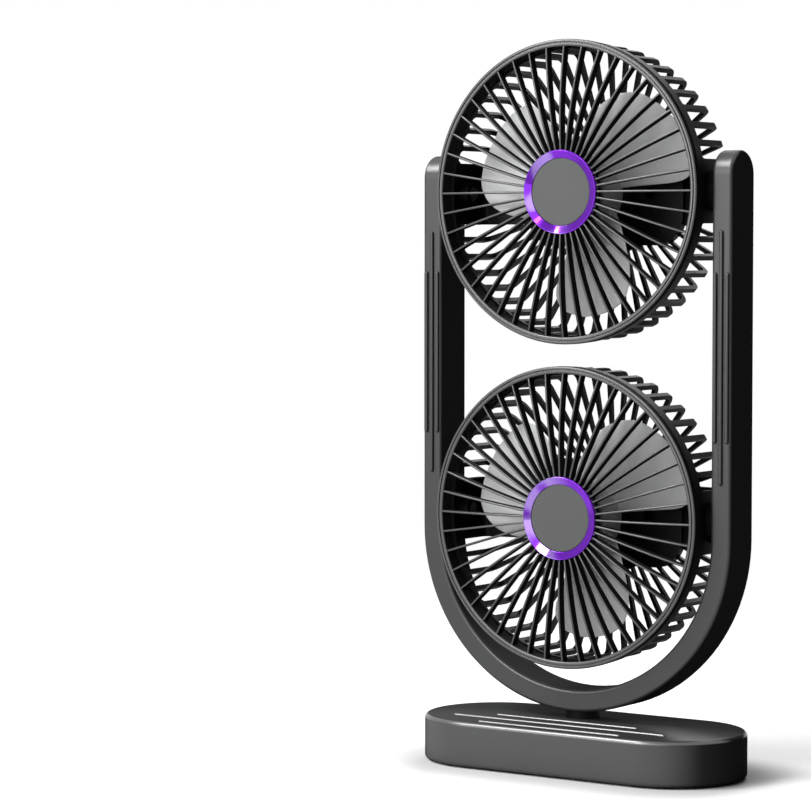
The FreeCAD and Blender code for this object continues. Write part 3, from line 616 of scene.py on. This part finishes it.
def blade(sizes, turn):
    """A blade: over (span, chord) the angle runs from the leading to the trailing edge, the height is a
    cosine of the angle, and the thickness is a flat ellipse over the chord that swells at the root and
    thins towards the tip."""
    hub, tip = sizes.fan_hub_radius, sizes.fan_tip_radius
    in_hub, full_twist, root_twist = 0.03, 0.63, 0.45
    first_angle, twist_angle = 2.0, 84.0
    fillet = 1.6 * MM
    span = np.linspace(0, 0.985, 56)
    share = (1 + in_hub) * (1 - (1 - span) ** 2.2) - in_hub
    r = hub + share * (tip - hub)
    lead, trail = blade_edges(share)
    chord = (1 - np.cos(np.linspace(0, 1, 33) * math.pi)) / 2
    angle = lead[:, None] * (1 - chord) + trail[:, None] * chord
    k = np.clip(share / full_twist, 0, 1)[:, None]
    rise = (root_twist + (1 - root_twist) * k * k * (3 - 2 * k)) * sizes.blade_rise
    twist = math.pi * np.clip((angle - first_angle) / twist_angle, 0, 1)
    height = rise * np.cos(twist) - sizes.blade_thickness / 2
    root = np.clip(np.exp(-(r - hub) / fillet), 0, 1)[:, None]
    edge = np.sqrt(np.clip(1 - (2 * chord - 1) ** 8, 0, 1))
    end = np.sqrt(np.clip(1 - span ** 30, 0, 1))[:, None]
    thick = sizes.blade_thickness / 2 * edge * end * (1.0 - 0.25 * k + 0.9 * root)
    a = np.radians(angle) + turn
    x, z = r[:, None] * np.cos(a), r[:, None] * np.sin(a)
    front = np.stack([x, height - thick, z], -1)
    back = np.stack([x, height + thick, z], -1)
    return np.concatenate([front, back[:, -2:0:-1]], 1)


def bead(sizes, length):
    """An upright bead: stadium outlines that shrink by cos(t)^(2/n) while they rise by sin(t)^(2/n),
    which makes the section a superellipse. The first outline lies a little below the face."""
    s = sizes
    power = 2 / 3.2
    sunk = 0.3
    half_turn = np.linspace(0, math.pi, 13)
    a = np.concatenate([half_turn, half_turn + math.pi])
    shift = np.repeat([length / 2, -length / 2], len(half_turn))
    t = np.append(np.linspace(0, 0.93, 9), 0.985) * math.pi / 2
    share = np.append(1.0, np.cos(t) ** power)[:, None]
    rise = np.append(-sunk, np.sin(t) ** power)[:, None]
    r = share * s.bead_width / 2
    return np.stack([r * np.cos(a), -rise * s.bead_rise + 0 * a, r * np.sin(a) + shift], -1)


class FAN_OT_arm_beads(bpy.types.Operator):
    """Arm beads: a long raised bead between two short ones on the face of each arm"""
    bl_idname = "fan.arm_beads"
    bl_label = "Arm beads"

    def execute(self, context):
        s = context.scene.fan_sizes
        face = -box_of("yoke_rear")[1][1]
        reach = box_of("yoke_front")[1][0] - s.arm_width / 2
        middle = (head_centre("lower") + head_centre("upper")) / 2
        skin = Skin()
        for side in (-1, 1):
            for row, length in ((-1, s.bead_short), (0, s.bead_long), (1, s.bead_short)):
                place = np.array([side * reach + row * s.bead_pitch, face, middle[2]])
                skin.tube(bead(s, length) + place)
        skin.make("arm_beads", yoke_plastic(), "yoke", [], 50.0)
        return {"FINISHED"}


class FAN_OT_front_grilles(bpy.types.Operator):
    """Front grilles: a grooved ring, rounded radial fins and a hub seat on each head"""
    bl_idname = "fan.front_grilles"
    bl_label = "Front grilles"

    def execute(self, context):
        s = context.scene.fan_sizes
        ring, seat = self.ring(s), self.seat(s)
        for head in HEADS:
            centre = head_centre(head)
            skin = Skin()
            skin.hoop(turned(ring, centre, 192))
            skin.hoop(turned(seat, centre, 96))
            for fin in spokes(s, centre):
                skin.tube(fin)
            skin.make(head + "_grille", grille_plastic(), head + "_head",
                      [head + "_front_grille"])
        return {"FINISHED"}

    def ring(self, s):
        """Profile of the front ring: a face with a groove, a broad rim and a thin skirt behind it."""
        groove_depth, skirt_width, skirt_depth = 0.7 * MM, 0.9 * MM, 4.2 * MM
        broad, small, fine = 0.8 * MM, 0.2 * MM, 0.12 * MM
        front, back = -s.ring_front, -s.ring_front + s.ring_depth
        inner, outer = s.ring_radius - s.ring_width, s.ring_radius
        near = s.groove_radius - s.groove_width / 2
        far = s.groove_radius + s.groove_width / 2
        deep = front + groove_depth
        skirt, end = inner + skirt_width, back + skirt_depth
        return rounded(
            [(inner, front), (near, front), (near, deep), (far, deep), (far, front), (outer, front),
             (outer, back), (skirt, back), (skirt, end), (inner, end)],
            [broad, small, fine, fine, small, broad, small, 0, small, small])

    def seat(self, s):
        """Profile of the plate behind the hub ring, almost closed at the axis."""
        axis = 0.01 * MM
        front, back = -s.hub_seat, s.hub_plate_depth - s.hub_seat
        return rounded(
            [(axis, front), (s.hub_radius, front), (s.hub_radius, back), (axis, back)],
            [0, 0.1 * MM, 0.3 * MM, 0])


class FAN_OT_hub_rings(bpy.types.Operator):
    """Hub rings: plated rings whose faces fall gently towards the cap"""
    bl_idname = "fan.hub_rings"
    bl_label = "Hub rings"

    def execute(self, context):
        s = context.scene.fan_sizes
        chamfer, small = 0.4 * MM, 0.2 * MM
        inner, outer = s.hub_radius - s.hub_ring_width, s.hub_radius
        front, back = -s.hub_front, -s.hub_seat
        profile = rounded(
            [(inner, front + s.hub_ring_dish), (outer - chamfer, front), (outer, front + chamfer),
             (outer, back), (inner, back)],
            [small] * 5, 4)
        for head in HEADS:
            skin = Skin()
            skin.hoop(turned(profile, head_centre(head), 192))
            skin.make(head + "_bezel", purple_plating(), head + "_head",
                      [head + "_hub_ring"])
        return {"FINISHED"}


class FAN_OT_impellers(bpy.types.Operator):
    """Impellers: a hub with rounded front edge and three thin twisted blades"""
    bl_idname = "fan.impellers"
    bl_label = "Impellers"

    def execute(self, context):
        s = context.scene.fan_sizes
        hub = self.hub(s)
        for head in HEADS:
            centre = head_centre(head)
            skin = Skin()
            skin.hoop(turned(hub, centre, 128))
            for turn in np.arange(BLADES) * 2 * math.pi / BLADES:
                skin.tube(blade(s, turn) + centre)
            skin.make(head + "_blades", blade_plastic(), head + "_fan",
                      [head + "_impeller"], 50.0)
        return {"FINISHED"}

    def hub(self, s):
        """Profile of the hub: a cup open at the back, with a bored boss in its middle."""
        bore, boss, floor = 1.55 * MM, 4.5 * MM, 3.0 * MM
        front, back = -s.fan_hub_front, s.fan_hub_back
        outer, inner = s.fan_hub_radius, s.fan_hub_radius - s.fan_hub_wall
        return rounded(
            [(bore, front), (outer, front), (outer, back), (inner, back), (inner, front + floor),
             (boss, front + floor), (boss, 0), (bore, 0)],
            [0, 2.4 * MM, 0.5 * MM, 0.5 * MM, 0.8 * MM, 0.5 * MM, 0.3 * MM, 0], 6)


def paint(material, *nodes):
    """Gives frame nodes a material in all their slots."""
    for name in nodes:
        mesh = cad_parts[name].data
        mesh.materials.clear()
        mesh.materials.append(material)


class FAN_OT_base_finish(bpy.types.Operator):
    """Finishes of the base and what it holds"""
    bl_idname = "fan.base_finish"
    bl_label = "Base finish"

    def execute(self, context):
        paint(base_plastic(), "base_shell", "power_button")
        paint(cage_plastic(), "base_plate", "tact_switch")
        paint(rubber(), "rubber_feet")
        paint(steel(), "base_screws", "ballast", "usb_socket")
        paint(foil(), "battery")
        paint(board_lacquer(), "control_board")
        paint(bearing_plastic(), "swivel_bush")
        return {"FINISHED"}


class FAN_OT_yoke_finish(bpy.types.Operator):
    """Finishes of the yoke and its swivel"""
    bl_idname = "fan.yoke_finish"
    bl_label = "Yoke finish"

    def execute(self, context):
        paint(yoke_plastic(), "yoke_front", "yoke_rear")
        paint(dark_steel(), "yoke_screws")
        paint(cage_plastic(), "spindle")
        paint(steel(), "spindle_clip")
        paint(bearing_plastic(), "lower_pivot_bushes", "upper_pivot_bushes")
        return {"FINISHED"}


class FAN_OT_head_finish(bpy.types.Operator):
    """Finishes of the heads' cages, caps, motors and pins"""
    bl_idname = "fan.head_finish"
    bl_label = "Head finish"

    def execute(self, context):
        for head in HEADS:
            paint(cage_plastic(), head + "_rear_cage", head + "_rear_cover")
            paint(cap_plastic(), head + "_hub_cap")
            paint(dark_steel(), head + "_motor")
            paint(steel(), head + "_motor_screws", head + "_motor_shaft")
            paint(steel(), head + "_pivot_pins", head + "_impeller_nut")
            paint(rubber(), head + "_pivot_washers")
        return {"FINISHED"}


def turn_towards(direction):
    """The turn that points a lamp or camera in a direction, with its top upwards."""
    return direction.to_track_quat("-Z", "Y").to_euler()


def lamp(name, place, width, height, power):
    """A soft rectangular lamp that faces the lamps' target."""
    data = bpy.data.lights.new(name, "AREA")
    data.shape = "RECTANGLE"
    data.size = width
    data.size_y = height
    data.energy = power
    made = bpy.data.objects.new(name, data)
    made.location = place
    made.rotation_euler = turn_towards(Vector(LAMP_TARGET) - Vector(place))
    bpy.context.scene.collection.objects.link(made)


def seen_rays(graph):
    """1 for camera, glossy and transmission rays, which see the white background; 0 for the rest."""
    rays = graph.add("ShaderNodeLightPath")
    camera, glossy, transmission = rays[0], rays[3], rays[6]
    return camera.most(glossy).most(transmission)


class FAN_OT_stage(bpy.types.Operator):
    """Stage: pale floor, white surroundings, soft lamps and the camera"""
    bl_idname = "fan.stage"
    bl_label = "Stage"

    def execute(self, context):
        self.floor()
        self.surroundings(context.scene)
        for values in LAMPS:
            lamp(*values)
        self.camera(context.scene)
        context.scene.view_settings.view_transform = "Standard"
        return {"FINISHED"}

    def floor(self):
        """Pale floor that takes the shadow near the object, with painted shade in a band round the base,
        and fades to the white surroundings.
        """
        reach = 4.0
        mesh = bpy.data.meshes.new("floor")
        corners = [(-reach, -reach, 0), (reach, -reach, 0), (reach, reach, 0), (-reach, reach, 0)]
        mesh.from_pydata(corners, [], [(0, 1, 2, 3)])
        material = bpy.data.materials.new("floor")
        material.use_nodes = True
        self.floor_finish(Graph(material.node_tree))
        mesh.materials.append(material)
        made = bpy.data.objects.new("floor", mesh)
        bpy.context.scene.collection.objects.link(made)

    def floor_finish(self, graph):
        """Diffuse and pale where it is seen, lifted a little outside the base's outline, white further
        out, and dull to the rays that light the object. Leaving the lift out within the outline and
        thinning it over a band close to it is painted shade round the base."""
        pale_grey, dull_grey = (0.8, 0.8, 0.8, 1.0), (0.08, 0.08, 0.08, 1.0)
        lift_strength, lift_reach = 0.55, 40.0 * MM
        white_from, white_to = 0.35, 0.9
        low, high = box_of("base_shell")
        end = (high[1] - low[1]) / 2
        place = graph.place()
        away = graph.add("ShaderNodeVectorMath", {"operation": "LENGTH"}, {0: place})[1]
        x, y = graph.add("ShaderNodeSeparateXYZ", None, {0: place})[:2]
        past = (abs(x) - (high[0] - end)).most(0.0)
        clear = (past ** 2 + y ** 2) ** 0.5 - end
        pale = graph.add("ShaderNodeBsdfDiffuse", None, {"Color": pale_grey})[0]
        dull = graph.add("ShaderNodeBsdfDiffuse", None, {"Color": dull_grey})[0]
        white = graph.add("ShaderNodeEmission", None, {"Color": WHITE, "Strength": 1.0})[0]
        lift = graph.add("ShaderNodeEmission", None, {"Color": WHITE, "Strength": lift_strength})[0]
        lifted = graph.add("ShaderNodeAddShader", None, {0: pale, 1: lift})[0]
        # Painted shade: no lift within the base's outline, rising over lift_reach outside it, so the floor
        # is darker round the base whatever the light.
        lit = graph.mixed(clear.within(0.0, lift_reach), pale, lifted)
        near = graph.mixed(away.within(white_from, white_to), lit, white)
        shown = graph.mixed(seen_rays(graph), dull, near)
        graph.add("ShaderNodeOutputMaterial", None, {"Surface": shown})

    def surroundings(self, scene):
        """A plain world: white where it is seen, dim where it lights."""
        dim_strength = 0.04
        world = bpy.data.worlds.new("surroundings")
        world.use_nodes = True
        graph = Graph(world.node_tree)
        dim = graph.add("ShaderNodeBackground", None, {"Color": WHITE, "Strength": dim_strength})[0]
        white = graph.add("ShaderNodeBackground", None, {"Color": WHITE, "Strength": 1.0})[0]
        shown = graph.mixed(seen_rays(graph), dim, white)
        graph.add("ShaderNodeOutputWorld", None, {"Surface": shown})
        scene.world = world

    def camera(self, scene):
        """The camera at the photograph's view."""
        data = bpy.data.cameras.new("camera")
        data.sensor_width = SENSOR_WIDTH
        data.sensor_fit = "HORIZONTAL"
        data.lens = CAMERA_LENS
        made = bpy.data.objects.new("camera", data)
        made.location = CAMERA_PLACE
        made.rotation_euler = turn_towards(Vector(CAMERA_DIRECTION))
        scene.collection.objects.link(made)
        scene.camera = made


OPERATORS = (
    FAN_OT_base_finish, FAN_OT_yoke_finish, FAN_OT_head_finish, FAN_OT_arm_beads,
    FAN_OT_front_grilles, FAN_OT_hub_rings, FAN_OT_impellers, FAN_OT_stage)


class FAN_PT_panel(bpy.types.Panel):
    """Lists the fan's operators, sizes and colours"""
    bl_idname = "FAN_PT_panel"
    bl_label = "Desk fan"
    bl_space_type = "VIEW_3D"
    bl_region_type = "UI"
    bl_category = "Fan"

    def draw(self, context):
        for operator in OPERATORS:
            self.layout.operator(operator.bl_idname)
        for group in (context.scene.fan_sizes, context.scene.fan_colours):
            column = self.layout.column()
            for name in group.__annotations__:
                column.prop(group, name)


CLASSES = (FanSizes, FanColours, *OPERATORS, FAN_PT_panel)


def register():
    for cls in CLASSES:
        bpy.utils.register_class(cls)
    bpy.types.Scene.fan_sizes = PointerProperty(type=FanSizes)
    bpy.types.Scene.fan_colours = PointerProperty(type=FanColours)


def unregister():
    del bpy.types.Scene.fan_colours
    del bpy.types.Scene.fan_sizes
    for cls in reversed(CLASSES):
        bpy.utils.unregister_class(cls)


def main():
    """Registers the classes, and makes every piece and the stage."""
    register()
    bpy.ops.fan.base_finish()
    bpy.ops.fan.yoke_finish()
    bpy.ops.fan.head_finish()
    bpy.ops.fan.arm_beads()
    bpy.ops.fan.front_grilles()
    bpy.ops.fan.hub_rings()
    bpy.ops.fan.impellers()
    bpy.ops.fan.stage()


if __name__ == "__main__":
    main()
